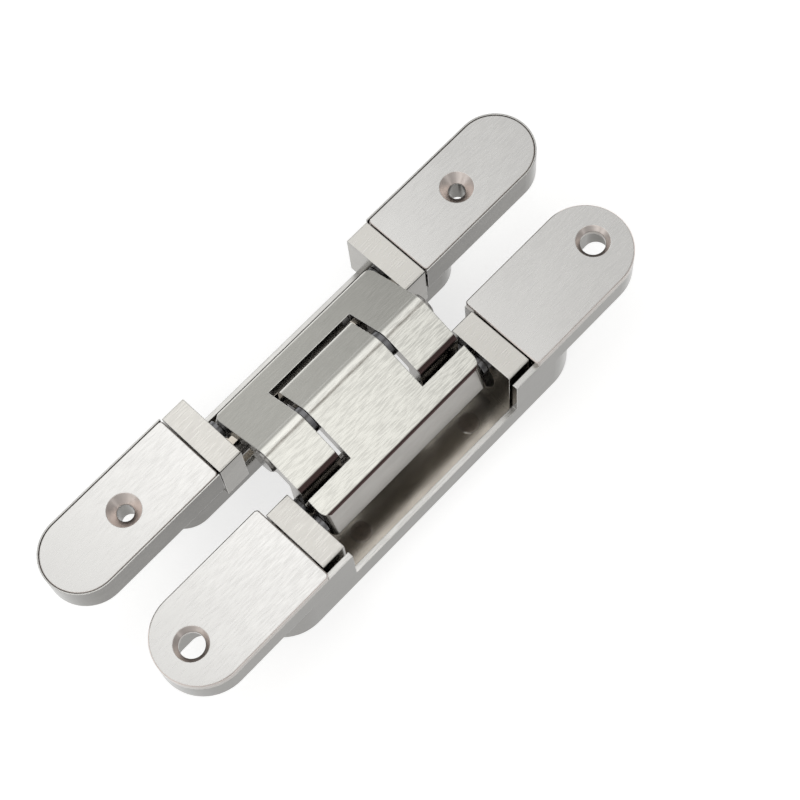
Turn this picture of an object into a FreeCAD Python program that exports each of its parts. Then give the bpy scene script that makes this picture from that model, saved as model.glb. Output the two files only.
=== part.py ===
import FreeCAD, Part
import math
import os
import Sketcher

# Concealed door hinge, lying open at 180 degrees on the backs of its two housings.
# X runs across the hinge from housing A to housing B, Y along the housings, Z up.
# The origin is the centre of the ground plan, level with the backs.

doc = FreeCAD.newDocument("concealed_hinge")
sheet = doc.addObject("Spreadsheet::Sheet", "Dims")

SIZES = [
    # the two housings
    ("body_depth", 30.0, "faceplate surface to back"),
    ("body_pitch", 43.4, "centre line of A to centre line of B, hinge open"),
    ("a_width", 26.0, "width of housing A"),
    ("a_length", 203.6, "length of housing A"),
    ("b_width", 30.0, "width of housing B"),
    ("b_length", 195.0, "length of housing B"),
    ("ear_depth", 12.0, "depth of the end lugs under the faceplate surface"),
    ("a_deep_width", 20.8, "width of the deep middle of A"),
    ("deep_beyond", 8.1, "straight deep middle beyond the pocket, each end"),
    ("floor_thick", 2.4, "floor of the pocket"),
    ("a_wall", 1.5, "side wall of A"),
    ("b_wall", 1.9, "side wall of B"),
    ("wall_drop", 20.0, "cut-away side wall, below the faceplate surface"),
    ("pocket_length", 89.0, "pocket between the cover plates"),
    ("cover_thick", 3.0, "cover plate"),
    ("cover_rim", 0.45, "rim of the lug that shows round a cover plate"),
    ("cover_bevel", 0.35, "bevel of a cover plate's top edge"),
    ("corner_round", 1.2, "inner corners of a cover plate"),
    ("a_hole_inset", 30.4, "screw hole of A from the lug's end"),
    ("b_hole_inset", 11.6, "screw hole of B from the lug's end"),
    ("a_hole_dia", 5.4, "screw hole of A"),
    ("b_hole_dia", 8.0, "screw hole of B"),
    ("b_slot_travel", 4.0, "screw travel in the slotted hole in the lug of B"),
    ("sink_dia", 10.8, "countersink"),
    ("eject_dia", 6.6, "raised disc on the pocket floor"),
    ("eject_high", 0.5, "height of that disc"),
    ("eject_pitch", 48.0, "between the two discs"),
    ("eject_side", 5.1, "discs off the centre line, away from the knuckle"),
    ("back_round", 1.0, "edge of the back"),
    # end blocks that carry the pins
    ("block_length", 8.7, "end block along the housing"),
    ("block_gap", 0.5, "end block to cover plate"),
    ("a_block_sunk", 0.0, "top of A's end blocks below its cover plates"),
    ("b_block_sunk", 0.5, "top of B's end blocks below its cover plates"),
    ("a_block_inset", 0.5, "end block of A inside the lug's width, each side"),
    ("stop_gap", 0.3, "end block of B to the wall at the end of its travel"),
    ("block_round", 0.6, "edges of an end block"),
    ("tongue_length", 12.0, "tongue of an end block under the cover plate"),
    ("tongue_width", 14.0, "width of the tongue"),
    ("tongue_thick", 4.0, "thickness of the tongue"),
    ("fit_gap", 0.1, "flat fit of pieces that are screwed together"),
    ("adjust_travel", 1.0, "sideways setting of B, each way"),
    ("clamp_dia", 4.2, "clamp screw"),
    ("clamp_head", 8.2, "head of the clamp screw"),
    ("clamp_head_high", 2.2, "height of that head"),
    ("clamp_length", 13.0, "clamp screw under its head"),
    ("socket_wide", 3.6, "hexagon socket of the clamp screw, corner to corner"),
    ("socket_deep", 1.4, "depth of that socket"),
    ("clamp_offset", 6.5, "clamp screw beyond the pocket's end"),
    ("seat_wall", 1.7, "end block behind its bore and guide slot"),
    ("pin_chamfer", 0.4, "edge of a pin's end"),
    # the two crossing arms
    ("crease_high", 11.5, "crest of the arms over the faceplate surface"),
    ("a_reach_beyond", 1.3, "forked arm's outer top edge past the centre line of A"),
    ("b_reach_beyond", 2.2, "tee arm's outer top edge past the centre line of B"),
    ("arm_thick", 5.6, "bar of an arm, measured upright"),
    ("leg_lean", 3.1, "outward lean of the outer leg"),
    ("leg_drop", 11.6, "outer leg below the faceplate surface"),
    ("leg_behind", 3.2, "outer leg behind the slide pin's axis"),
    ("window_width", 34.6, "between the prongs of the forked arm"),
    ("u_bar", 7.9, "forked arm's bar, seen from above"),
    ("t_bar", 6.8, "tee arm's bar, seen from above"),
    ("prong_gap", 2.5, "end of a prong to the tee arm's bar"),
    ("stem_gap", 1.8, "end of the stem to the forked arm's bar"),
    ("crest_round", 5.0, "rounding of the crest"),
    ("nose_round", 3.4, "rounding of a prong's and the stem's end"),
    ("edge_round", 1.8, "rounding of the outer top edge"),
    ("foot_round", 2.2, "rounding of the leg's foot on its inner side"),
    ("foot_edge", 0.6, "rounding of the leg's foot on its outer side"),
    ("under_round", 1.4, "inner corners under an arm"),
    ("leg_corner", 2.4, "upright outer corners of the legs"),
    # pins
    ("crease_cover", 0.5, "crest over the knuckles on the centre pin"),
    ("centre_dia", 5.0, "centre pin"),
    ("centre_hub", 5.0, "radius of the knuckles on the centre pin"),
    ("head_dia", 8.4, "riveted head of the centre pin"),
    ("head_thick", 1.1, "thickness of that head"),
    ("washer_dia", 9.4, "washer between stem and prong"),
    ("washer_thick", 1.6, "thickness of that washer"),
    ("pivot_inset", 8.3, "pivot pin from the housing's centre line"),
    ("pivot_drop", 9.0, "pivot pin below the faceplate surface"),
    ("pivot_dia", 4.5, "pivot pin"),
    ("pivot_hub", 4.0, "radius of the knuckles on a pivot pin"),
    ("spacer_dia", 6.6, "spacer washer between a prong and an end block"),
    ("pin_spacing", 8.2, "pivot pin to slide pin across the hinge, hinge open"),
    ("slide_drop", 7.0, "slide pin below the faceplate surface, hinge open"),
    ("slide_dia", 4.0, "slide pin"),
    ("roller_dia", 5.8, "roller on the slide pin's end"),
    ("collar_dia", 6.8, "collar beside the arm's leg"),
    ("collar_thick", 1.7, "thickness of collars and spacer washers"),
    ("run_gap", 0.05, "radial play of a pin in its bore"),
    ("slot_gap", 0.3, "play of a roller in its guide slot, each side"),
    ("side_gap", 0.2, "play along a pin"),
    ("closed_gap", 4.0, "between the two housings when the hinge is shut"),
]

for row, (alias, number, note) in enumerate(SIZES, start=1):
    sheet.set("A%d" % row, note)
    sheet.set("B%d" % row, str(number))
    sheet.setAlias("B%d" % row, alias)
doc.recompute()


class Size:
    """A size with its number and the sheet expression that it is bound to."""

    def __init__(self, number, text):
        self.number = float(number)
        self.text = text

    def __add__(self, other):
        other = size(other)
        return Size(self.number + other.number, "(%s + %s)" % (self.text, other.text))

    def __radd__(self, other):
        return size(other) + self

    def __sub__(self, other):
        other = size(other)
        return Size(self.number - other.number, "(%s - %s)" % (self.text, other.text))

    def __rsub__(self, other):
        return size(other) - self

    def __mul__(self, other):
        other = size(other)
        return Size(self.number * other.number, "(%s * %s)" % (self.text, other.text))

    def __rmul__(self, other):
        return size(other) * self

    def __truediv__(self, other):
        other = size(other)
        return Size(self.number / other.number, "(%s / %s)" % (self.text, other.text))

    def __neg__(self):
        return Size(-self.number, "(0 - %s)" % self.text)


def size(value):
    """A bare number or a Size, as a Size."""
    if isinstance(value, Size):
        return value
    return Size(value, "%.9g" % value)


def dim(alias):
    """The Size of one cell of the sheet."""
    return Size(sheet.get(alias), "Dims." + alias)


def in_order(first, second):
    """Two Sizes, the smaller one first."""
    return (first, second) if first.number <= second.number else (second, first)


def bind(obj, prop, value):
    """Bind a property to the sheet."""
    obj.setExpression(prop, size(value).text)


# Named levels and lines

FACE = dim("body_depth")
MIDDLE = (dim("a_width") - dim("b_width")) / 4
CENTRE = {"a": MIDDLE - dim("body_pitch") / 2, "b": MIDDLE + dim("body_pitch") / 2}
OUTWARD = {"a": -1, "b": 1}
WIDTH = {"a": dim("a_width"), "b": dim("b_width")}
LENGTH = {"a": dim("a_length"), "b": dim("b_length")}
DEEP = {"a": dim("a_deep_width"), "b": dim("b_width")}
WALL = {"a": dim("a_wall"), "b": dim("b_wall")}
BLOCK = {
    "a": WIDTH["a"] - dim("a_block_inset") * 2,
    "b": WIDTH["b"] - (WALL["b"] + dim("adjust_travel") + dim("stop_gap")) * 2,
}
HOLE = {"a": dim("a_hole_dia"), "b": dim("b_hole_dia")}
HOLE_Y = {
    "a": LENGTH["a"] / 2 - dim("a_hole_inset"),
    "b": LENGTH["b"] / 2 - dim("b_hole_inset"),
}
COVER_INSET = {"a": dim("cover_rim"), "b": size(0)}
BLOCK_TOP = {"a": FACE - dim("a_block_sunk"), "b": FACE - dim("b_block_sunk")}
LUG_TOP = FACE - dim("cover_thick")
LUG_FOOT = FACE - dim("ear_depth")
CUT_LEVEL = FACE - dim("wall_drop")
FLOOR = dim("floor_thick")
POCKET_END = dim("pocket_length") / 2
BLOCK_OUT = POCKET_END - dim("block_gap")
BLOCK_IN = BLOCK_OUT - dim("block_length")
SEAT = dim("block_length") - dim("seat_wall")
DEEP_STRAIGHT = POCKET_END + dim("deep_beyond")
TONGUE_TOP = LUG_TOP - dim("clamp_head_high") - dim("side_gap")
TONGUE_FOOT = TONGUE_TOP - dim("tongue_thick")
CLAMP_Y = POCKET_END + dim("clamp_offset")
CREST = FACE + dim("crease_high")
CENTRE_PIN = (MIDDLE, CREST - dim("crease_cover") - dim("centre_hub"))
PIVOT = (dim("body_pitch") / 2 - dim("pivot_inset"), FACE - dim("pivot_drop"))
SLIDE = (PIVOT[0] + dim("pin_spacing"), FACE - dim("slide_drop"))
REACH = {
    "a": dim("body_pitch") / 2 + dim("a_reach_beyond"),
    "b": dim("body_pitch") / 2 + dim("b_reach_beyond"),
}
U_BAR_EDGE = REACH["a"] - dim("u_bar")
T_BAR_EDGE = REACH["b"] - dim("t_bar")
PRONG_END = T_BAR_EDGE - dim("prong_gap")
STEM_END = U_BAR_EDGE - dim("stem_gap")
LEG_END = BLOCK_IN - dim("collar_thick") - dim("side_gap") * 2
ARM_WIDTH = LEG_END * 2
STEM_HALF = dim("window_width") / 2 - dim("washer_thick") - dim("side_gap") * 2


def side_x(side, distance):
    """A place measured from the middle plane towards housing A or B."""
    return MIDDLE + OUTWARD[side] * size(distance)


# Motion of the arms, as seen from housing A: the tee arm turns on A's pivot pin, and
# the forked arm turns with it about the centre pin, at a constant share of that turn.

def swing():
    """Turn of an arm on its pivot pin, and of the other arm, from open to shut, in radians."""
    rise = CENTRE_PIN[1].number - PIVOT[1].number
    radius = math.hypot(PIVOT[0].number, rise)
    start = math.atan2(rise, PIVOT[0].number)
    shut_level = FACE.number + dim("closed_gap").number / 2 - PIVOT[1].number
    end = math.pi - math.asin(shut_level / radius)
    return radius, start, end - start, math.pi - (end - start)


RADIUS, START, ARM_TURN, OTHER_TURN = swing()


def slide_path(share):
    """Slide pin in housing A at a share of the travel, from the middle plane, as seen open."""
    angle = START + ARM_TURN * share
    pin_x = -PIVOT[0].number + RADIUS * math.cos(angle)
    pin_z = PIVOT[1].number + RADIUS * math.sin(angle)
    off_x = -SLIDE[0].number
    off_z = SLIDE[1].number - CENTRE_PIN[1].number
    turn = OTHER_TURN * share
    x = pin_x + off_x * math.cos(turn) - off_z * math.sin(turn)
    z = pin_z + off_x * math.sin(turn) + off_z * math.cos(turn)
    return x, z


# Helpers for bodies and sketches

TINY = 1e-6        # a volume that counts as nothing
NEAR = 0.05        # how close an edge lies to the place where it is looked for
PARALLEL = 0.999   # cosine of a direction that counts as along an axis
SINK_ANGLE = 90    # degrees across a countersink
HEXAGON = 6        # corners of a screw's socket
QUADRANTS = [(1, 1), (-1, 1), (-1, -1), (1, -1)]  # signs of x and y, in turning order


def new_body(name):
    body = doc.addObject("PartDesign::Body", name)
    body.Label = name
    return body


def sketch_on(body, role, name, offset=None):
    """A sketch on one of the body's own origin planes, moved along its normal."""
    plane = [f for f in body.Origin.OriginFeatures if f.Role == role][0]
    sketch = body.newObject("Sketcher::SketchObject", name)
    sketch.AttachmentSupport = (plane, [""])
    sketch.MapMode = "FlatFace"
    if offset is not None:
        bind(sketch, "AttachmentOffset.Base.z", offset)
    return sketch


def place_point(sketch, geo, pos, x, y):
    """Tie a point to the sketch's origin by two bound distances."""
    for kind, axis, value in (("DistanceX", -2, size(x)), ("DistanceY", -1, size(y))):
        if value.text == "0":
            sketch.addConstraint(Sketcher.Constraint("PointOnObject", geo, pos, axis))
        else:
            index = sketch.addConstraint(
                Sketcher.Constraint(kind, -1, 1, geo, pos, value.number))
            sketch.setExpression("Constraints[%d]" % index, value.text)


def draw_polygon(sketch, points):
    """A closed outline whose corners are all bound to the sheet."""
    points = [(size(x), size(y)) for x, y in points]
    first = sketch.GeometryCount
    count = len(points)
    for k in range(count):
        a, b = points[k], points[(k + 1) % count]
        sketch.addGeometry(Part.LineSegment(
            FreeCAD.Vector(a[0].number, a[1].number, 0),
            FreeCAD.Vector(b[0].number, b[1].number, 0)), False)
    for k in range(count):
        after = first + (k + 1) % count
        sketch.addConstraint(Sketcher.Constraint("Coincident", first + k, 2, after, 1))
    for k in range(count):
        place_point(sketch, first + k, 1, points[k][0], points[k][1])


def draw_open_path(sketch, points):
    """Joined lines through points that are all bound to the sheet, not closed."""
    points = [(size(x), size(y)) for x, y in points]
    first = sketch.GeometryCount
    for a, b in zip(points, points[1:]):
        sketch.addGeometry(Part.LineSegment(
            FreeCAD.Vector(a[0].number, a[1].number, 0),
            FreeCAD.Vector(b[0].number, b[1].number, 0)), False)
    last = len(points) - 1
    for k in range(1, last):
        sketch.addConstraint(
            Sketcher.Constraint("Coincident", first + k - 1, 2, first + k, 1))
    for k in range(last):
        place_point(sketch, first + k, 1, points[k][0], points[k][1])
    place_point(sketch, first + last - 1, 2, points[last][0], points[last][1])


def draw_rectangle(sketch, x_low, x_high, y_low, y_high):
    draw_polygon(sketch, [(x_low, y_low), (x_high, y_low), (x_high, y_high), (x_low, y_high)])


def draw_circle(sketch, x, y, radius):
    x, y, radius = size(x), size(y), size(radius)
    geo = sketch.addGeometry(Part.Circle(
        FreeCAD.Vector(x.number, y.number, 0), FreeCAD.Vector(0, 0, 1), radius.number), False)
    index = sketch.addConstraint(Sketcher.Constraint("Radius", geo, radius.number))
    sketch.setExpression("Constraints[%d]" % index, radius.text)
    place_point(sketch, geo, 3, x, y)


def draw_stadium(sketch, x, y_low, y_high, radius):
    """Two half circles joined by lines along Y; the arc centres are at y_low and y_high."""
    x, y_low, y_high, radius = size(x), size(y_low), size(y_high), size(radius)
    up = FreeCAD.Vector(0, 0, 1)
    top = Part.ArcOfCircle(Part.Circle(
        FreeCAD.Vector(x.number, y_high.number, 0), up, radius.number), 0, math.pi)
    low = Part.ArcOfCircle(Part.Circle(
        FreeCAD.Vector(x.number, y_low.number, 0), up, radius.number), math.pi, 2 * math.pi)
    right, left = x.number + radius.number, x.number - radius.number
    first = sketch.GeometryCount
    sketch.addGeometry(top, False)
    sketch.addGeometry(Part.LineSegment(
        FreeCAD.Vector(left, y_high.number, 0), FreeCAD.Vector(left, y_low.number, 0)), False)
    sketch.addGeometry(low, False)
    sketch.addGeometry(Part.LineSegment(
        FreeCAD.Vector(right, y_low.number, 0), FreeCAD.Vector(right, y_high.number, 0)), False)
    for a, b in ((0, 1), (1, 2), (2, 3), (3, 0)):
        sketch.addConstraint(Sketcher.Constraint("Tangent", first + a, 2, first + b, 1))
    sketch.addConstraint(Sketcher.Constraint("Vertical", first + 1))
    index = sketch.addConstraint(Sketcher.Constraint("Radius", first, radius.number))
    sketch.setExpression("Constraints[%d]" % index, radius.text)
    place_point(sketch, first, 3, x, y_high)
    place_point(sketch, first + 2, 3, x, y_low)


def pad(body, sketch, length, midplane=False, reverse=False):
    feature = body.newObject("PartDesign::Pad", "Pad")
    feature.Profile = sketch
    bind(feature, "Length", length)
    feature.Midplane = midplane
    feature.Reversed = reverse
    sketch.Visibility = False
    doc.recompute()
    return feature


def pocket(body, sketch, length, midplane=False, reverse=False):
    """A cut; a cut that takes nothing away is refused."""
    before = body.Shape.Volume
    feature = body.newObject("PartDesign::Pocket", "Pocket")
    feature.Profile = sketch
    bind(feature, "Length", length)
    feature.Midplane = midplane
    feature.Reversed = reverse
    doc.recompute()
    if body.Shape.Volume > before - TINY:
        raise ValueError("%s: a pocket cuts nothing" % body.Label)
    return feature


def edges_where(shape, test):
    """Names of the edges whose middle point and direction pass the test."""
    names = []
    for number, edge in enumerate(shape.Edges, start=1):
        middle = edge.valueAt((edge.FirstParameter + edge.LastParameter) / 2)
        if test(edge, middle):
            names.append("Edge%d" % number)
    return names


def dress(body, kind, value, test):
    """A fillet or chamfer on the edges that pass the test."""
    base = body.Tip
    names = edges_where(base.Shape, test)
    if not names:
        raise ValueError("%s: no edge to dress" % body.Label)
    feature = body.newObject("PartDesign::" + kind, kind)
    feature.Base = (base, names)
    bind(feature, "Radius" if kind == "Fillet" else "Size", value)
    doc.recompute()
    return feature


def along_y(edge):
    return edge.Curve.TypeId == "Part::GeomLine" and abs(edge.tangentAt(0).y) > PARALLEL


def along_z(edge):
    return edge.Curve.TypeId == "Part::GeomLine" and abs(edge.tangentAt(0).z) > PARALLEL


def near(a, b):
    return abs(a - size(b).number) < NEAR


PIECES = []


def keep(obj, name):
    obj.Label = name
    PIECES.append((name, obj))
    return obj


def upright_sketch(body, name, y=None):
    """A sketch in the XZ plane at a place along Y; its axes are X and Z."""
    return sketch_on(body, "XZ_Plane", name, None if y is None else -size(y))


def level_sketch(body, name, z=None):
    """A sketch in the XY plane at a height."""
    return sketch_on(body, "XY_Plane", name, z)


def bore_along_y(body, place, radius, length, middle=True, y=None, reverse=False):
    sketch = upright_sketch(body, "BoreSketch", y)
    draw_circle(sketch, place[0], place[1], radius)
    return pocket(body, sketch, length, midplane=middle, reverse=reverse)


def countersunk(body, sketch, diameter):
    """A through hole with a countersink, from the sketch's plane down."""
    doc.recompute()
    hole = body.newObject("PartDesign::Hole", "CountersunkHole")
    hole.Profile = sketch
    doc.recompute()
    hole.DepthType = "ThroughAll"
    hole.Threaded = False
    bind(hole, "Diameter", diameter)
    hole.HoleCutType = "Countersink"
    hole.HoleCutCustomValues = True
    bind(hole, "HoleCutDiameter", dim("sink_dia"))
    hole.HoleCutCountersinkAngle = SINK_ANGLE
    doc.recompute()
    return hole


# Housings: a long lug plate with rounded ends and, under its middle, a deep pocket

def housing(side):
    name = "housing_" + side
    body = new_body(name)
    centre, width, deep = CENTRE[side], WIDTH[side], DEEP[side]
    lug_top = FACE if side == "a" else LUG_TOP

    plan = level_sketch(body, "LugPlan", LUG_FOOT)
    straight = LENGTH[side] / 2 - width / 2
    draw_stadium(plan, centre, -straight, straight, width / 2)
    pad(body, plan, lug_top - LUG_FOOT)

    plan = level_sketch(body, "DeepPlan")
    draw_stadium(plan, centre, -DEEP_STRAIGHT, DEEP_STRAIGHT, deep / 2)
    pad(body, plan, LUG_TOP)
    dress(body, "Fillet", dim("back_round"), lambda edge, middle: near(middle.z, 0))

    if side == "a":
        plan = level_sketch(body, "CoverSeat", FACE)
        straight = LENGTH[side] / 2 - width / 2
        draw_stadium(plan, centre, -straight, straight, width / 2 - COVER_INSET[side])
        pocket(body, plan, dim("cover_thick"))

    plan = level_sketch(body, "PocketPlan", FACE)
    half = deep / 2 - WALL[side]
    draw_rectangle(plan, centre - half, centre + half, -POCKET_END, POCKET_END)
    pocket(body, plan, FACE - FLOOR)

    inner_low, inner_high = in_order(centre, side_x(side, 0))
    plan = level_sketch(body, "KnuckleSideCut", FACE)
    draw_rectangle(plan, inner_low, inner_high, -POCKET_END, POCKET_END)
    pocket(body, plan, FACE - CUT_LEVEL)

    outer = centre + OUTWARD[side] * width
    low, high = in_order(centre, outer)
    cut_end = POCKET_END if side == "a" else BLOCK_IN
    plan = level_sketch(body, "OuterSideCut", FACE)
    draw_rectangle(plan, low, high, -cut_end, cut_end)
    pocket(body, plan, FACE - CUT_LEVEL)

    play = dim("fit_gap") if side == "a" else dim("fit_gap") + dim("adjust_travel")
    half = dim("tongue_width") / 2 + play
    end = POCKET_END + dim("tongue_length") + dim("block_gap")
    for sign in (1, -1):
        plan = level_sketch(body, "TongueSeat", FACE)
        low, high = in_order(sign * POCKET_END, sign * end)
        draw_rectangle(plan, centre - half, centre + half, low, high)
        pocket(body, plan, FACE - TONGUE_FOOT + dim("fit_gap"))

        plan = level_sketch(body, "ClampThread", FACE)
        draw_circle(plan, centre, sign * CLAMP_Y, dim("clamp_dia") / 2 + dim("run_gap"))
        pocket(body, plan, FACE - TONGUE_TOP + dim("clamp_length") + dim("side_gap"))

        plan = level_sketch(body, "ScrewHole", FACE)
        if side == "a":
            draw_circle(plan, centre, sign * HOLE_Y[side], HOLE[side] / 2)
        else:
            stretch = dim("b_slot_travel") / 2
            at = sign * HOLE_Y[side]
            draw_stadium(plan, centre, at - stretch, at + stretch, HOLE[side] / 2)
        pocket(body, plan, FACE)

    if side == "b":
        plan = level_sketch(body, "FloorDiscs", FLOOR)
        for sign in (1, -1):
            draw_circle(plan, centre + dim("eject_side"), sign * dim("eject_pitch") / 2,
                        dim("eject_dia") / 2)
        pad(body, plan, dim("eject_high"))
    return keep(body, name)


def cover_plate(side, end, sign):
    name = "cover_plate_%s_%s" % (side, end)
    body = new_body(name)
    centre = CENTRE[side]
    gap = dim("run_gap") if side == "a" else size(0)
    radius = WIDTH[side] / 2 - COVER_INSET[side] - gap
    arc_y = sign * (LENGTH[side] / 2 - WIDTH[side] / 2)

    inner = sign * POCKET_END
    root = inner - sign * radius
    plan = level_sketch(body, "PlatePlan", LUG_TOP)
    low, high = in_order(root, arc_y)
    draw_stadium(plan, centre, low, high, radius)
    pad(body, plan, dim("cover_thick"))

    plan = level_sketch(body, "SquareEnd", FACE)
    low, high = in_order(inner, root - sign * WIDTH[side])
    draw_rectangle(plan, centre - WIDTH[side], centre + WIDTH[side], low, high)
    pocket(body, plan, FACE)

    dress(body, "Fillet", dim("corner_round"),
          lambda edge, middle: along_z(edge) and near(abs(middle.y), POCKET_END))
    dress(body, "Chamfer", dim("cover_bevel"),
          lambda edge, middle: near(middle.z, FACE))

    plan = level_sketch(body, "ScrewHole", FACE)
    draw_circle(plan, centre, sign * HOLE_Y[side], HOLE[side] / 2)
    countersunk(body, plan, HOLE[side])
    return keep(body, name)


# End blocks: they hold a pivot pin in a bore and let a slide pin run in a curved slot

def draw_guide_slot(sketch, side):
    """An arc slot through the slide pin's places with the hinge open, half shut and shut."""
    points = []
    for share in (0.0, 0.5, 1.0):
        x, z = slide_path(share)
        points.append(FreeCAD.Vector(MIDDLE.number - OUTWARD[side] * x, z, 0))
    path = Part.Circle(*points)
    centre, radius = path.Center, path.Radius
    half = dim("roller_dia").number / 2 + dim("slot_gap").number
    up = FreeCAD.Vector(0, 0, 1)

    def angle_of(point, about):
        return math.atan2(point.y - about.y, point.x - about.x)

    first_angle = angle_of(points[0], centre)
    last_angle = angle_of(points[2], centre)
    turn = (last_angle - first_angle + math.pi) % (2 * math.pi) - math.pi
    low, high = sorted((first_angle, first_angle + turn))
    ends = [centre + FreeCAD.Vector(math.cos(a), math.sin(a), 0) * radius for a in (low, high)]
    sketch.addGeometry([
        Part.ArcOfCircle(Part.Circle(centre, up, radius + half), low, high),
        Part.ArcOfCircle(Part.Circle(ends[1], up, half), high, high + math.pi),
        Part.ArcOfCircle(Part.Circle(centre, up, radius - half), low, high),
        Part.ArcOfCircle(Part.Circle(ends[0], up, half), low - math.pi, low),
    ], False)
    for geo in range(4):
        sketch.addConstraint(Sketcher.Constraint("Block", geo))


def end_block(side, end, sign):
    name = "end_block_%s_%s" % (side, end)
    body = new_body(name)
    centre = CENTRE[side]
    inner, outer = sign * BLOCK_IN, sign * BLOCK_OUT
    upward = sign > 0

    half = BLOCK[side] / 2
    top = BLOCK_TOP[side]
    foot = FLOOR + dim("fit_gap")
    profile = upright_sketch(body, "BlockProfile", inner)
    if side == "a":
        shelf = CUT_LEVEL + dim("fit_gap")
        neck = DEEP[side] / 2 - WALL[side] - dim("fit_gap")
        draw_polygon(profile, [
            (centre - half, top), (centre - half, shelf), (centre - neck, shelf),
            (centre - neck, foot), (centre + neck, foot), (centre + neck, shelf),
            (centre + half, shelf), (centre + half, top)])
    else:
        draw_rectangle(profile, centre - half, centre + half, foot, top)
    pad(body, profile, BLOCK_OUT - BLOCK_IN, reverse=upward)
    dress(body, "Fillet", dim("block_round"),
          lambda edge, middle: along_y(edge) and near(middle.z, top))

    plan = level_sketch(body, "TonguePlan", TONGUE_FOOT)
    tip = sign * (POCKET_END + dim("tongue_length"))
    root = outer - sign * dim("seat_wall")
    low, high = in_order(root, tip)
    tongue = dim("tongue_width") / 2
    draw_rectangle(plan, centre - tongue, centre + tongue, low, high)
    pad(body, plan, dim("tongue_thick"))

    plan = level_sketch(body, "ClampHole", TONGUE_TOP)
    stretch = dim("run_gap") if side == "a" else dim("adjust_travel") + dim("run_gap")
    hole = dim("clamp_dia") / 2 + stretch
    draw_circle(plan, centre, sign * CLAMP_Y, hole)
    pocket(body, plan, dim("tongue_thick"))

    place = (side_x(side, PIVOT[0]), PIVOT[1])
    bore_along_y(body, place, dim("pivot_dia") / 2 + dim("run_gap"), SEAT,
                 middle=False, y=inner, reverse=not upward)
    slot = upright_sketch(body, "GuideSlot", inner)
    draw_guide_slot(slot, side)
    pocket(body, slot, SEAT, reverse=not upward)
    return keep(body, name)


# Arms: two crossing levers on one centre pin, a forked one and a tee-shaped one

def roof(side, distance):
    """Height of the arms' top over a housing, at a distance from the middle plane."""
    return FACE + dim("crease_high") * (1 - size(distance) / REACH[side])


def round_leg_corner(body, leg_side, sign):
    """Round an upright outer corner of the leg by a cut that follows the leg's lean."""
    outward = OUTWARD[leg_side]
    lean, drop = dim("leg_lean"), dim("leg_drop")
    radius = dim("leg_corner")
    sketch = level_sketch(body, "LegCorner")
    turn = math.degrees(math.atan2(lean.number, drop.number))
    axis = FreeCAD.Vector(0, -outward, 0)
    sketch.AttachmentOffset = FreeCAD.Placement(
        FreeCAD.Vector(0, 0, 0), FreeCAD.Rotation(axis, turn))
    bind(sketch, "AttachmentOffset.Base.x", side_x(leg_side, REACH[leg_side]))
    bind(sketch, "AttachmentOffset.Base.z", FACE)
    sketch.setExpression("AttachmentOffset.Rotation.Angle", "atan(%s)" % (lean / drop).text)

    end, start = sign * LEG_END, sign * (LEG_END - radius)
    beyond = sign * (LEG_END + radius)
    inside, outside = -outward * radius, outward * radius
    draw_open_path(sketch, [
        (inside, end), (inside, beyond), (outside, beyond), (outside, start), (0, start)])
    centre = FreeCAD.Vector(inside.number, start.number, 0)
    quarter = math.pi / 2
    first_angle = QUADRANTS.index((outward, sign)) * quarter
    circle = Part.Circle(centre, FreeCAD.Vector(0, 0, 1), radius.number)
    arc = sketch.addGeometry(
        Part.ArcOfCircle(circle, first_angle, first_angle + quarter), False)
    on_face, on_end = (1, 2) if outward * sign > 0 else (2, 1)
    sketch.addConstraint(Sketcher.Constraint("Coincident", arc, on_end, 0, 1))
    sketch.addConstraint(Sketcher.Constraint("Coincident", arc, on_face, arc - 1, 2))
    index = sketch.addConstraint(Sketcher.Constraint("Radius", arc, radius.number))
    sketch.setExpression("Constraints[%d]" % index, radius.text)
    pocket(body, sketch, FACE + drop, midplane=True)


def arm_prism(body, leg_side, end_side, end_edge):
    """The arm's outline seen from the side, through its whole width."""
    def at(distance):
        return side_x(leg_side, distance)

    foot = FACE - dim("leg_drop")
    foot_out = REACH[leg_side] + dim("leg_lean")
    foot_in = SLIDE[0] - dim("leg_behind")
    knuckle_in = PIVOT[0] - dim("pivot_hub")
    leg_under = roof(leg_side, foot_in) - dim("arm_thick")
    end_under = roof(end_side, knuckle_in) - dim("arm_thick")
    outline = upright_sketch(body, "ArmOutline")
    draw_polygon(outline, [
        (at(foot_out), foot),
        (at(REACH[leg_side]), FACE),
        (MIDDLE, CREST),
        (at(-end_edge), roof(end_side, end_edge)),
        (at(-end_edge), PIVOT[1]),
        (at(-knuckle_in), PIVOT[1]),
        (at(-knuckle_in), end_under),
        (MIDDLE, CREST - dim("arm_thick")),
        (at(foot_in), leg_under),
        (at(foot_in), foot)])
    pad(body, outline, ARM_WIDTH, midplane=True)

    def corner(distance, height):
        x, z = at(distance).number, size(height).number
        return lambda edge, middle: along_y(edge) and near(middle.x, x) and near(middle.z, z)

    dress(body, "Fillet", dim("crest_round"), corner(0, CREST))
    dress(body, "Fillet", dim("nose_round"), corner(-end_edge, roof(end_side, end_edge)))
    dress(body, "Fillet", dim("edge_round"), corner(REACH[leg_side], FACE))
    dress(body, "Fillet", dim("foot_round"), corner(foot_in, foot))
    dress(body, "Fillet", dim("foot_edge"), corner(foot_out, foot))
    dress(body, "Fillet", dim("under_round"), corner(-knuckle_in, end_under))
    dress(body, "Fillet", dim("under_round"), corner(foot_in, leg_under))
    for sign in (1, -1):
        round_leg_corner(body, leg_side, sign)

    for place, radius in (((at(-PIVOT[0]), PIVOT[1]), dim("pivot_hub")),
                          (CENTRE_PIN, dim("centre_hub"))):
        knuckle = upright_sketch(body, "Knuckle")
        draw_circle(knuckle, place[0], place[1], radius)
        pad(body, knuckle, ARM_WIDTH, midplane=True)


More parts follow.
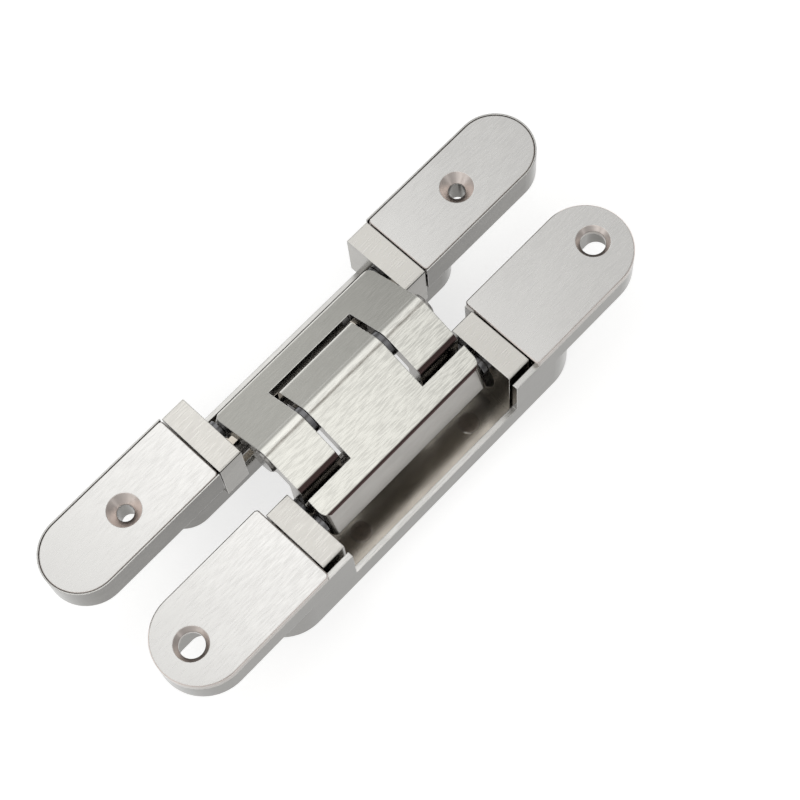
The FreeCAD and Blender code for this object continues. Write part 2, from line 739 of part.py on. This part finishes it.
def arm_bores(body, leg_side):
    play = dim("run_gap")
    bore_along_y(body, CENTRE_PIN, dim("centre_dia") / 2 + play, ARM_WIDTH * 2)
    pivot = (side_x(leg_side, -PIVOT[0]), PIVOT[1])
    bore_along_y(body, pivot, dim("pivot_dia") / 2 + play, ARM_WIDTH * 2)
    slide = (side_x(leg_side, SLIDE[0]), SLIDE[1])
    bore_along_y(body, slide, dim("slide_dia") / 2 + play, ARM_WIDTH * 2)


def forked_arm():
    body = new_body("u_arm")
    arm_prism(body, "a", "b", PRONG_END)
    window = level_sketch(body, "Window", CREST)
    half = dim("window_width") / 2
    draw_rectangle(window, side_x("a", U_BAR_EDGE), side_x("b", REACH["b"]), -half, half)
    pocket(body, window, FACE)
    arm_bores(body, "a")
    return keep(body, "u_arm")


def tee_arm():
    body = new_body("t_arm")
    arm_prism(body, "b", "a", STEM_END)
    for sign in (1, -1):
        corner = level_sketch(body, "StemSide", CREST)
        low, high = in_order(sign * STEM_HALF, sign * ARM_WIDTH)
        draw_rectangle(corner, side_x("a", REACH["a"]), side_x("b", T_BAR_EDGE), low, high)
        pocket(body, corner, FACE)
    arm_bores(body, "b")
    return keep(body, "t_arm")


# Turned pieces: pins, washers, collars, rollers and screws

def turned(name, profile, place, upright=False):
    """A piece turned from a profile of (radius, distance along its axis) points."""
    body = new_body(name)
    sketch = sketch_on(body, "XZ_Plane" if upright else "XY_Plane", "TurnedProfile")
    draw_polygon(sketch, profile)
    turn = body.newObject("PartDesign::Revolution", "Revolution")
    turn.Profile = sketch
    turn.ReferenceAxis = (sketch, ["V_Axis"])
    turn.Angle = 360
    sketch.Visibility = False
    for axis, value in zip("xyz", place):
        bind(body, "Placement.Base." + axis, value)
    doc.recompute()
    return keep(body, name)


def pin(name, place, diameter, half_length):
    radius, edge = diameter / 2, dim("pin_chamfer")
    return turned(name, [
        (0, -half_length), (radius - edge, -half_length), (radius, edge - half_length),
        (radius, half_length - edge), (radius - edge, half_length), (0, half_length)],
        (place[0], 0, place[1]))


def ring(name, place, bore, outer, y_low, y_high):
    return turned(name, [(bore, y_low), (outer, y_low), (outer, y_high), (bore, y_high)],
                  (place[0], 0, place[1]))


def riveted_pin():
    radius, head = dim("centre_dia") / 2, dim("head_dia") / 2
    edge = dim("pin_chamfer")
    neck = LEG_END
    end = neck + dim("head_thick")
    turned("centre_pin", [
        (0, -end), (head - edge, -end), (head, edge - end), (head, -neck), (radius, -neck),
        (radius, neck), (head, neck), (head, end - edge), (head - edge, end), (0, end)],
        (CENTRE_PIN[0], 0, CENTRE_PIN[1]))


def clamp_screw(side, end, sign):
    name = "clamp_screw_%s_%s" % (side, end)
    shank, head = dim("clamp_dia") / 2, dim("clamp_head") / 2
    edge = dim("pin_chamfer")
    high = dim("clamp_head_high")
    low = -dim("clamp_length")
    body = turned(name, [
        (0, low), (shank - edge, low), (shank, low + edge), (shank, 0), (head, 0),
        (head, high - edge), (head - edge, high), (0, high)],
        (CENTRE[side], sign * CLAMP_Y, TONGUE_TOP), upright=True)
    socket = level_sketch(body, "HexagonSocket", high)
    radius = dim("socket_wide") / 2
    angles = [2 * math.pi * k / HEXAGON for k in range(HEXAGON)]
    draw_polygon(socket, [(radius * math.cos(a), radius * math.sin(a)) for a in angles])
    pocket(body, socket, dim("socket_deep"))
    return body


ENDS = (("upper", 1), ("lower", -1))

for side in ("a", "b"):
    housing(side)
    for end, sign in ENDS:
        cover_plate(side, end, sign)
        end_block(side, end, sign)
        clamp_screw(side, end, sign)

forked_arm()
tee_arm()
riveted_pin()

play = dim("run_gap")
gap = dim("side_gap")
pin_half = BLOCK_IN + SEAT - gap
slide_bore = dim("slide_dia") / 2 + play
for side in ("a", "b"):
    pivot = (side_x(side, PIVOT[0]), PIVOT[1])
    slide = (side_x(side, SLIDE[0]), SLIDE[1])
    pin("pivot_pin_" + side, pivot, dim("pivot_dia"), pin_half)
    pin("slide_pin_" + side, slide, dim("slide_dia"), pin_half)
    for end, sign in ENDS:
        low, high = in_order(sign * (LEG_END + gap), sign * (BLOCK_IN - gap))
        ring("slide_collar_%s_%s" % (side, end), slide, slide_bore, dim("collar_dia") / 2,
             low, high)
        low, high = in_order(sign * (BLOCK_IN + gap), sign * pin_half)
        ring("slide_roller_%s_%s" % (side, end), slide, slide_bore, dim("roller_dia") / 2,
             low, high)

for end, sign in ENDS:
    low, high = in_order(sign * (STEM_HALF + gap), sign * (dim("window_width") / 2 - gap))
    ring("centre_washer_" + end, CENTRE_PIN, dim("centre_dia") / 2 + play,
         dim("washer_dia") / 2, low, high)
    low, high = in_order(sign * (LEG_END + gap), sign * (BLOCK_IN - gap))
    ring("pivot_washer_b_" + end, (side_x("b", PIVOT[0]), PIVOT[1]),
         dim("pivot_dia") / 2 + play, dim("spacer_dia") / 2, low, high)

doc.recompute()
faults = [obj.Name for obj in doc.Objects if "Invalid" in obj.State or "Error" in obj.State]
for name, obj in PIECES:
    if obj.Shape.isNull() or not obj.Shape.isValid() or len(obj.Shape.Solids) != 1:
        faults.append(name)
if faults:
    raise ValueError("failed: " + ", ".join(faults))

os.makedirs("parts", exist_ok=True)
for name, obj in PIECES:
    obj.Shape.exportStep("parts/%s.step" % name)
print("pieces written:", len(PIECES))
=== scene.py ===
import math

import bpy
from mathutils import Matrix, Vector


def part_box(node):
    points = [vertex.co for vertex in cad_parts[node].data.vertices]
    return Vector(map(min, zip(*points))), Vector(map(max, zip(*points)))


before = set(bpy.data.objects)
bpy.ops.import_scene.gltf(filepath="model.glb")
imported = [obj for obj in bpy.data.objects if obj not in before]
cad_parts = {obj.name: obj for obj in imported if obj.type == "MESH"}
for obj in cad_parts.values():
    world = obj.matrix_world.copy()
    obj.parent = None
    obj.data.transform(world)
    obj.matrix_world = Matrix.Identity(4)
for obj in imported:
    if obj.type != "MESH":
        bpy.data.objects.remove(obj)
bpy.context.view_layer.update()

MM = 0.001

# The camera, fitted to the photograph: where its axis meets the faceplate surface, from how
# far and from which side, with the roll of the picture
FACE_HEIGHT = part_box("cover_plate_b_upper")[1].z
AIM = Vector((13.14 * MM, 8.43 * MM, FACE_HEIGHT))
CAMERA_DISTANCE = 595.0 * MM
CAMERA_AZIMUTH = math.radians(51.28)
CAMERA_ELEVATION = math.radians(68.60)
CAMERA_ROLL = math.radians(-8.17)
FOCAL_LENGTH = 90.1
SENSOR_WIDTH = 36.0
CLIP_NEAR = 0.01
CLIP_FAR = 20.0


# Node helpers

class Tree:
    """A material's or the world's nodes, with short calls to add and join them."""

    def __init__(self, owner):
        owner.use_nodes = True
        self.nodes = owner.node_tree.nodes
        self.links = owner.node_tree.links
        self.nodes.clear()

    def add(self, kind, **settings):
        node = self.nodes.new("ShaderNode" + kind)
        for key, value in settings.items():
            setattr(node, key, value)
        return node

    def join(self, source, target):
        self.links.new(source, target)

    def math(self, operation, first, second=None):
        node = self.add("Math", operation=operation)
        for socket, value in zip(node.inputs, (first, second)):
            self.feed(socket, value)
        return node.outputs[0]

    def feed(self, socket, value):
        if value is None:
            return
        if isinstance(value, bpy.types.NodeSocket):
            self.join(value, socket)
        else:
            socket.default_value = value

    def remap(self, value, low, high, to_low, to_high):
        node = self.add("MapRange", interpolation_type="SMOOTHSTEP")
        self.join(value, node.inputs["Value"])
        for name, number in (("From Min", low), ("From Max", high),
                             ("To Min", to_low), ("To Max", to_high)):
            node.inputs[name].default_value = number
        return node.outputs[0]

    def ramp(self, value, low, high, stops):
        """Colours that follow a value; each stop is a value and its colour."""
        spread = self.add("MapRange")
        self.join(value, spread.inputs["Value"])
        spread.inputs["From Min"].default_value = low
        spread.inputs["From Max"].default_value = high
        node = self.add("ValToRGB")
        elements = node.color_ramp.elements
        while len(elements) < len(stops):
            elements.new(0.5)
        for element, (at, colour) in zip(elements, stops):
            element.position = (at - low) / (high - low)
            element.color = tuple(colour) + (1.0,)
        self.join(spread.outputs[0], node.inputs[0])
        return node.outputs[0]

    def mix(self, kind, factor, first, second, blend="MIX"):
        node = self.add("Mix", data_type=kind)
        if kind == "RGBA":
            node.blend_type = blend
        socket_type = {"RGBA": "RGBA", "FLOAT": "VALUE"}[kind]
        pair = [s for s in node.inputs if s.type == socket_type][-2:]
        self.feed(node.inputs["Factor"], factor)
        self.feed(pair[0], first)
        self.feed(pair[1], second)
        return [s for s in node.outputs if s.enabled][0]

    def noise(self, vector, stretch, detail=2.0, roughness=0.5):
        mapping = self.add("Mapping")
        self.join(vector, mapping.inputs["Vector"])
        mapping.inputs["Scale"].default_value = stretch
        texture = self.add("TexNoise")
        texture.inputs["Scale"].default_value = 1.0
        texture.inputs["Detail"].default_value = detail
        texture.inputs["Roughness"].default_value = roughness
        self.join(mapping.outputs[0], texture.inputs["Vector"])
        return texture.outputs[0]

    def split(self, vector):
        node = self.add("SeparateXYZ")
        self.join(vector, node.inputs[0])
        return node.outputs

    def bump(self, strength, distance, height, normal):
        node = self.add("Bump")
        self.join(strength, node.inputs["Strength"])
        node.inputs["Distance"].default_value = distance
        self.join(height, node.inputs["Height"])
        self.join(normal, node.inputs["Normal"])
        return node.outputs[0]


# Metals: satin nickel, brushed along the hinge on the faces that show. Upright sides keep a
# smoother skin, painted darker as shade. Pocket floors, discs and backs have colours of their
# own;
# slants have their own colour on the countersinks and painted shade on the arms' roundings,
# and edges get a painted highlight.

# How fine each pattern is: noise cells to a metre, across the hinge, along it and upright
STROKES = (2200.0, 210.0, 60.0)
SKIN = (140.0, 110.0, 420.0)
WAVES = (70.0, 45.0, 70.0)

# Lighter colour painted along the edges as a highlight
EDGE_HIGHLIGHT_METAL = (0.93, 0.92, 0.90, 1.0)
# Painted shade on the arms' faces square to +X
END_SHADE = (0.09, 0.082, 0.078, 1.0)
# Painted shade on the arms' roundings that face +X
ROUNDING_SHADE = (0.085, 0.055, 0.052, 1.0)
COUNTERSINK_SKIN = (0.86, 0.78, 0.74, 1.0)
FLOOR_SKIN = (0.66, 0.61, 0.54, 1.0)
DISC_SKIN = (0.53, 0.47, 0.42, 1.0)
BACK_SKIN = (0.62, 0.61, 0.59, 1.0)

# Heights above the ground with the hinge open
POCKET_FLOOR = 3.6 * MM
DISC_TOP = 2.9 * MM
DISC_EDGE = (DISC_TOP - 0.3 * MM, DISC_TOP - 0.1 * MM)
HEIGHT_BLEND = 1.0 * MM

# Parts of a face's normal, from where a zone begins to where it is full
TURN_BLEND = 0.15
LEFT_SLOPE = (-0.30, 0.05)
BACK_TILT = (-0.90, -0.75)
SLANT_TOP = (0.875, 0.82)
SLANT_FOOT = (0.28, 0.36)
SQUARE_ON = (0.975, 0.99)
EVERY_SIDE = -2.0

# Noise values from which to which a tone, a roughness or a cloud runs
TONE_BAND = (0.30, 0.70)
ROUGH_BAND = (0.25, 0.75)
CLOUD_BAND = (0.35, 0.65)

SKIN_TONE = 0.07
CLOUD_TONE = (0.98, 1.0)
STROKE_ROUGH_SPREAD = (-0.05, 0.06)
SKIN_ROUGH_SPREAD = (-0.03, 0.04)
FLOOR_ROUGHER = 0.06
SLANT_ROUGHER = 0.14

# Painted highlight along the edges: the cosine between a face's normal and its rounded one, and
# how much of the lighter colour is painted on
HIGHLIGHT_TURN = (0.95, 0.80)
HIGHLIGHT_SAMPLES = 6
EDGE_HIGHLIGHT = 0.8

SKIN_DEPTH = 0.05
FLOOR_WAVES = 0.55
WAVE_HEIGHT = 0.25 * MM
GRAIN_HEIGHT = 0.05 * MM


def tones(colour, spread):
    """A darker and a lighter version of a colour."""
    dark = tuple(c * (1.0 - spread) for c in colour) + (1.0,)
    light = tuple(min(1.0, c * (1.0 + spread)) for c in colour) + (1.0,)
    return dark, light


def nickel(name, top, side_skin_and_shade, top_rough, side_rough, upright=0.60, stroke_tone=0.06,
           stroke_depth=0.06, wave_depth=0.25, bevel=0.35, left_strokes=1.0,
           slant_skin_and_shade=None, slant_side=EVERY_SIDE, end_shade=None,
           brushed_above=POCKET_FLOOR):
    """Brushed where a face's normal rises above `upright`, elsewhere the side colour, a smoother
    skin painted darker as shade. Slopes that face -X keep the part `left_strokes` of the
    brushing.
    Steeper slants whose normal points further to +X than `slant_side` get the colour
    `slant_skin_and_shade`, and faces square to +X get the painted shade `end_shade`. Nothing is
    brushed below `brushed_above`, and faces there take the side colour. `bevel` is the edges'
    radius in mm."""
    material = bpy.data.materials.new(name)
    tree = Tree(material)
    place = tree.add("TexCoord").outputs
    normal = tree.split(place["Normal"])
    point = tree.split(place["Object"])

    strokes = tree.noise(place["Object"], STROKES, detail=2.0, roughness=0.60)
    kept = tree.remap(normal["X"], *LEFT_SLOPE, left_strokes, 1.0)
    strokes = tree.mix("FLOAT", kept, 0.5, strokes)
    skin = tree.noise(place["Object"], SKIN, detail=4.0, roughness=0.55)
    waves = tree.noise(place["Object"], WAVES, detail=2.0, roughness=0.45)

    # Zones, from 0 outside to 1 inside
    facing_up = tree.remap(normal["Z"], upright, upright + TURN_BLEND, 0.0, 1.0)
    in_reach = tree.remap(point["Z"], brushed_above, brushed_above + HEIGHT_BLEND, 0.0, 1.0)
    brushed = tree.math("MULTIPLY", facing_up, in_reach)
    low_down = tree.remap(point["Z"], POCKET_FLOOR, POCKET_FLOOR + HEIGHT_BLEND, 1.0, 0.0)
    in_floor = tree.math("MULTIPLY", low_down, facing_up)
    at_disc_height = tree.remap(point["Z"], *DISC_EDGE, 0.0, 1.0)
    on_disc = tree.math("MULTIPLY", in_floor, at_disc_height)
    behind = tree.remap(normal["Z"], *BACK_TILT, 1.0, 0.0)
    slanted = tree.math("MULTIPLY", tree.remap(normal["Z"], *SLANT_TOP, 0.0, 1.0),
                        tree.remap(normal["Z"], *SLANT_FOOT, 0.0, 1.0))
    on_side = tree.remap(normal["X"], slant_side, slant_side + TURN_BLEND, 0.0, 1.0)
    slanted = tree.math("MULTIPLY", slanted, on_side)

    # Colour: strokes and the side colour with its painted shade, then the zones' own skins and
    # painted shades, clouds and painted highlights along the edges
    stroke_colour = tree.mix("RGBA", tree.remap(strokes, *TONE_BAND, 0.0, 1.0),
                             *tones(top, stroke_tone))
    # The side colour: a smoother skin, painted darker as shade
    skin_and_shade_colour = tree.mix("RGBA", tree.remap(skin, *TONE_BAND, 0.0, 1.0),
                           *tones(side_skin_and_shade, SKIN_TONE))
    painted = tree.mix("RGBA", brushed, skin_and_shade_colour, stroke_colour)
    zones = [(in_floor, FLOOR_SKIN), (on_disc, DISC_SKIN), (behind, BACK_SKIN)]
    # On the arms the slants' colour is painted shade; on the plates it is the countersinks' own
    # colour
    if slant_skin_and_shade:
        zones.append((slanted, slant_skin_and_shade))
    # Faces square to +X get painted shade
    if end_shade:
        zones.append((tree.remap(normal["X"], *SQUARE_ON, 0.0, 1.0), end_shade))
    for zone, colour in zones:
        painted = tree.mix("RGBA", zone, painted, colour)
    cloud = tree.remap(waves, *CLOUD_BAND, *CLOUD_TONE)
    shade = tree.add("CombineColor")
    for socket in shade.inputs:
        tree.join(cloud, socket)
    painted = tree.mix("RGBA", 1.0, painted, shade.outputs[0], blend="MULTIPLY")
    rounded = tree.add("Bevel", samples=HIGHLIGHT_SAMPLES)
    rounded.inputs["Radius"].default_value = bevel * MM
    turned = tree.add("VectorMath", operation="DOT_PRODUCT")
    tree.join(tree.add("NewGeometry").outputs["Normal"], turned.inputs[0])
    tree.join(rounded.outputs[0], turned.inputs[1])
    # Painted highlight: the lighter colour along the edges
    edge_highlight = tree.remap(turned.outputs["Value"], *HIGHLIGHT_TURN, 0.0, EDGE_HIGHLIGHT)
    painted = tree.mix("RGBA", edge_highlight, painted, EDGE_HIGHLIGHT_METAL)

    # Roughness
    stroke_rough = tree.remap(strokes, *ROUGH_BAND,
                              *(top_rough + part for part in STROKE_ROUGH_SPREAD))
    skin_rough = tree.remap(skin, *ROUGH_BAND,
                            *(side_rough + part for part in SKIN_ROUGH_SPREAD))
    for zone, rougher in ((in_floor, FLOOR_ROUGHER), (slanted, SLANT_ROUGHER)):
        skin_rough = tree.math("ADD", skin_rough, tree.math("MULTIPLY", zone, rougher))
    rough = tree.mix("FLOAT", brushed, skin_rough, stroke_rough)

    # Bump: slow waves over the rounded edges, then strokes or skin
    wavy = tree.bump(tree.remap(in_floor, 0.0, 1.0, wave_depth, max(wave_depth, FLOOR_WAVES)),
                     WAVE_HEIGHT, waves, rounded.outputs[0])
    grained = tree.bump(tree.remap(brushed, 0.0, 1.0, SKIN_DEPTH, stroke_depth),
                        GRAIN_HEIGHT, tree.mix("FLOAT", brushed, skin, strokes), wavy)

    shader = tree.add("BsdfPrincipled")
    shader.inputs["Metallic"].default_value = 1.0
    tree.join(painted, shader.inputs["Base Color"])
    tree.join(rough, shader.inputs["Roughness"])
    tree.join(grained, shader.inputs["Normal"])
    output = tree.add("OutputMaterial")
    tree.join(shader.outputs[0], output.inputs["Surface"])
    return material


def paint(material, *nodes):
    for node in nodes:
        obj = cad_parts[node]
        for held in obj.material_slots:
            held.material = material
        if not obj.material_slots:
            obj.data.materials.append(material)


def nodes_named(*starts):
    return [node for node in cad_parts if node.startswith(starts)]


PLATE_NICKEL = nickel("plate_nickel", (0.84, 0.83, 0.815), (0.38, 0.355, 0.33), 0.23, 0.16,
                      upright=0.76, stroke_tone=0.025, stroke_depth=0.03, wave_depth=0.10,
                      slant_skin_and_shade=COUNTERSINK_SKIN)
# The arms' roundings and ends facing +X are painted dark as shade, and below 24 mm their faces
# take the shaded side colour
ARM_NICKEL = nickel("arm_nickel", (0.82, 0.81, 0.765), (0.37, 0.357, 0.34), 0.23, 0.22,
                    stroke_tone=0.22, stroke_depth=0.27, wave_depth=0.03,
                    left_strokes=0.15, slant_skin_and_shade=ROUNDING_SHADE, slant_side=0.10,
                    end_shade=END_SHADE, brushed_above=24 * MM)
BLOCK_NICKEL = nickel("block_nickel", (0.82, 0.80, 0.76), (0.38, 0.37, 0.35), 0.30, 0.20,
                      stroke_tone=0.03, stroke_depth=0.04)
# The housings' upright sides are painted very dark as shade
BODY_NICKEL = nickel("body_nickel", (0.76, 0.75, 0.73), (0.195, 0.189, 0.178), 0.26, 0.17,
                     stroke_tone=0.03, stroke_depth=0.04, wave_depth=0.30)
PIN_STEEL = nickel("pin_steel", (0.34, 0.33, 0.32), (0.26, 0.25, 0.24), 0.22, 0.18,
                   stroke_tone=0.05, bevel=0.1)
# Washers and collars: partly their own dark finish, partly painted shade of the gaps they sit in
WASHER_STEEL_AND_SHADE = nickel("dark_washer_and_shade", (0.20, 0.20, 0.21), (0.14, 0.14, 0.145), 0.26, 0.24,
                      stroke_tone=0.05, bevel=0.1)
SCREW_STEEL = nickel("screw_steel", (0.30, 0.29, 0.28), (0.22, 0.21, 0.20), 0.28, 0.22,
                     stroke_tone=0.05, bevel=0.1)

paint(PLATE_NICKEL, *nodes_named("cover_plate"))
paint(ARM_NICKEL, "u_arm", "t_arm")
paint(BLOCK_NICKEL, *nodes_named("end_block"))
paint(BODY_NICKEL, *nodes_named("housing"))
paint(PIN_STEEL, *nodes_named("pivot_pin", "slide_pin", "slide_roller", "centre_pin"))
paint(WASHER_STEEL_AND_SHADE, *nodes_named("slide_collar", "centre_washer", "pivot_washer"))
paint(SCREW_STEEL, *nodes_named("clamp_screw"))


# Floor: a plain pale sheet, white to the camera and in reflections, with the object's shadow

FLOOR_SIZE = 6.0
FLOOR_DROP = 0.05 * MM
FLOOR_TONE = 0.62
FLOOR_GLOW = 0.70


def floor():
    mesh = bpy.data.meshes.new("floor")
    half = FLOOR_SIZE / 2
    corners = [(-half, -half, 0), (half, -half, 0), (half, half, 0), (-half, half, 0)]
    mesh.from_pydata(corners, [], [(0, 1, 2, 3)])
    sheet = bpy.data.objects.new("floor", mesh)
    bpy.context.scene.collection.objects.link(sheet)
    sheet.location.z = -FLOOR_DROP
    material = bpy.data.materials.new("floor_white")
    tree = Tree(material)
    path = tree.add("LightPath")
    seen = tree.math("MAXIMUM", path.outputs["Is Camera Ray"], path.outputs["Is Glossy Ray"])
    seen = tree.math("MAXIMUM", seen, path.outputs["Is Transmission Ray"])
    diffuse = tree.add("BsdfDiffuse")
    diffuse.inputs["Color"].default_value = (FLOOR_TONE, FLOOR_TONE, FLOOR_TONE, 1.0)
    glow = tree.add("Emission")
    glow.inputs["Color"].default_value = (1.0, 1.0, 1.0, 1.0)
    glow.inputs["Strength"].default_value = FLOOR_GLOW
    both = tree.add("AddShader")
    tree.join(diffuse.outputs[0], both.inputs[0])
    tree.join(glow.outputs[0], both.inputs[1])
    chosen = tree.add("MixShader")
    tree.join(seen, chosen.inputs[0])
    tree.join(diffuse.outputs[0], chosen.inputs[1])
    tree.join(both.outputs[0], chosen.inputs[2])
    output = tree.add("OutputMaterial")
    tree.join(chosen.outputs[0], output.inputs["Surface"])
    mesh.materials.append(material)


# Studio: a world of two long soft lights over the hinge and parallel to it, which every kind
# of ray sees alike, and one large soft lamp

# Angle over the hinge's length axis from straight up, towards +X, and the tint seen there
SKY = [
    (-90, (0.50, 0.50, 0.50)),
    (-68, (0.38, 0.38, 0.37)),
    (-61, (0.42, 0.42, 0.41)),
    (-49, (1.00, 1.00, 0.99)),
    (-10, (1.00, 1.00, 0.99)),
    (-3, (0.34, 0.32, 0.30)),
    (7, (0.34, 0.32, 0.30)),
    (16, (0.94, 0.94, 0.92)),
    (39, (0.94, 0.94, 0.92)),
    (52, (0.52, 0.52, 0.51)),
    (90, (0.48, 0.48, 0.48)),
]
SKY_STRENGTH = 1.4

# Direction's part along the hinge, and how strongly the sky shines from there
ALONG = [
    (-1.00, 0.64),
    (-0.10, 0.48),
    (0.03, 0.52),
    (0.13, 1.00),
    (0.20, 0.95),
    (0.29, 0.47),
    (0.60, 0.38),
    (1.00, 0.36),
]


def studio_world():
    world = bpy.data.worlds.new("studio")
    bpy.context.scene.world = world
    tree = Tree(world)
    towards = tree.split(tree.add("TexCoord").outputs["Generated"])
    angle = tree.math("ARCTAN2", towards["X"], towards["Z"])
    across = tree.ramp(angle, -math.pi / 2, math.pi / 2,
                       [(math.radians(degrees), tint) for degrees, tint in SKY])
    along = tree.ramp(towards["Y"], -1.0, 1.0,
                      [(part, (light, light, light)) for part, light in ALONG])
    background = tree.add("Background")
    tree.join(across, background.inputs["Color"])
    tree.join(tree.math("MULTIPLY", along, SKY_STRENGTH), background.inputs["Strength"])
    output = tree.add("OutputWorld")
    tree.join(background.outputs[0], output.inputs["Surface"])


def soft_lamp(name, azimuth, elevation, distance, size, power):
    """A square lamp aimed at the object; azimuth 0 stands at -Y, as for the camera."""
    lamp = bpy.data.lights.new(name, "AREA")
    lamp.shape = "SQUARE"
    lamp.size = size
    lamp.energy = power
    holder = bpy.data.objects.new(name, lamp)
    bpy.context.scene.collection.objects.link(holder)
    around, up = math.radians(azimuth), math.radians(elevation)
    back = Vector((math.sin(around) * math.cos(up), -math.cos(around) * math.cos(up),
                   math.sin(up)))
    holder.location = AIM + back * distance
    holder.rotation_mode = "QUATERNION"
    holder.rotation_quaternion = (-back).to_track_quat("-Z", "Y")


floor()
studio_world()
soft_lamp("key", azimuth=20.0, elevation=55.0, distance=1.2, size=0.9, power=1.2)


def camera():
    data = bpy.data.cameras.new("camera")
    data.lens = FOCAL_LENGTH
    data.sensor_width = SENSOR_WIDTH
    data.clip_start = CLIP_NEAR
    data.clip_end = CLIP_FAR
    holder = bpy.data.objects.new("camera", data)
    bpy.context.scene.collection.objects.link(holder)
    back = Vector((math.sin(CAMERA_AZIMUTH) * math.cos(CAMERA_ELEVATION),
                   -math.cos(CAMERA_AZIMUTH) * math.cos(CAMERA_ELEVATION),
                   math.sin(CAMERA_ELEVATION)))
    right = Vector((math.cos(CAMERA_AZIMUTH), math.sin(CAMERA_AZIMUTH), 0.0))
    up = back.cross(right)
    turned_right = right * math.cos(CAMERA_ROLL) + up * math.sin(CAMERA_ROLL)
    turned_up = back.cross(turned_right)
    axes = Matrix((turned_right, turned_up, back)).transposed().to_4x4()
    axes.translation = AIM + back * CAMERA_DISTANCE
    holder.matrix_world = axes
    bpy.context.scene.camera = holder


camera()
bpy.context.scene.view_settings.view_transform = "Standard"
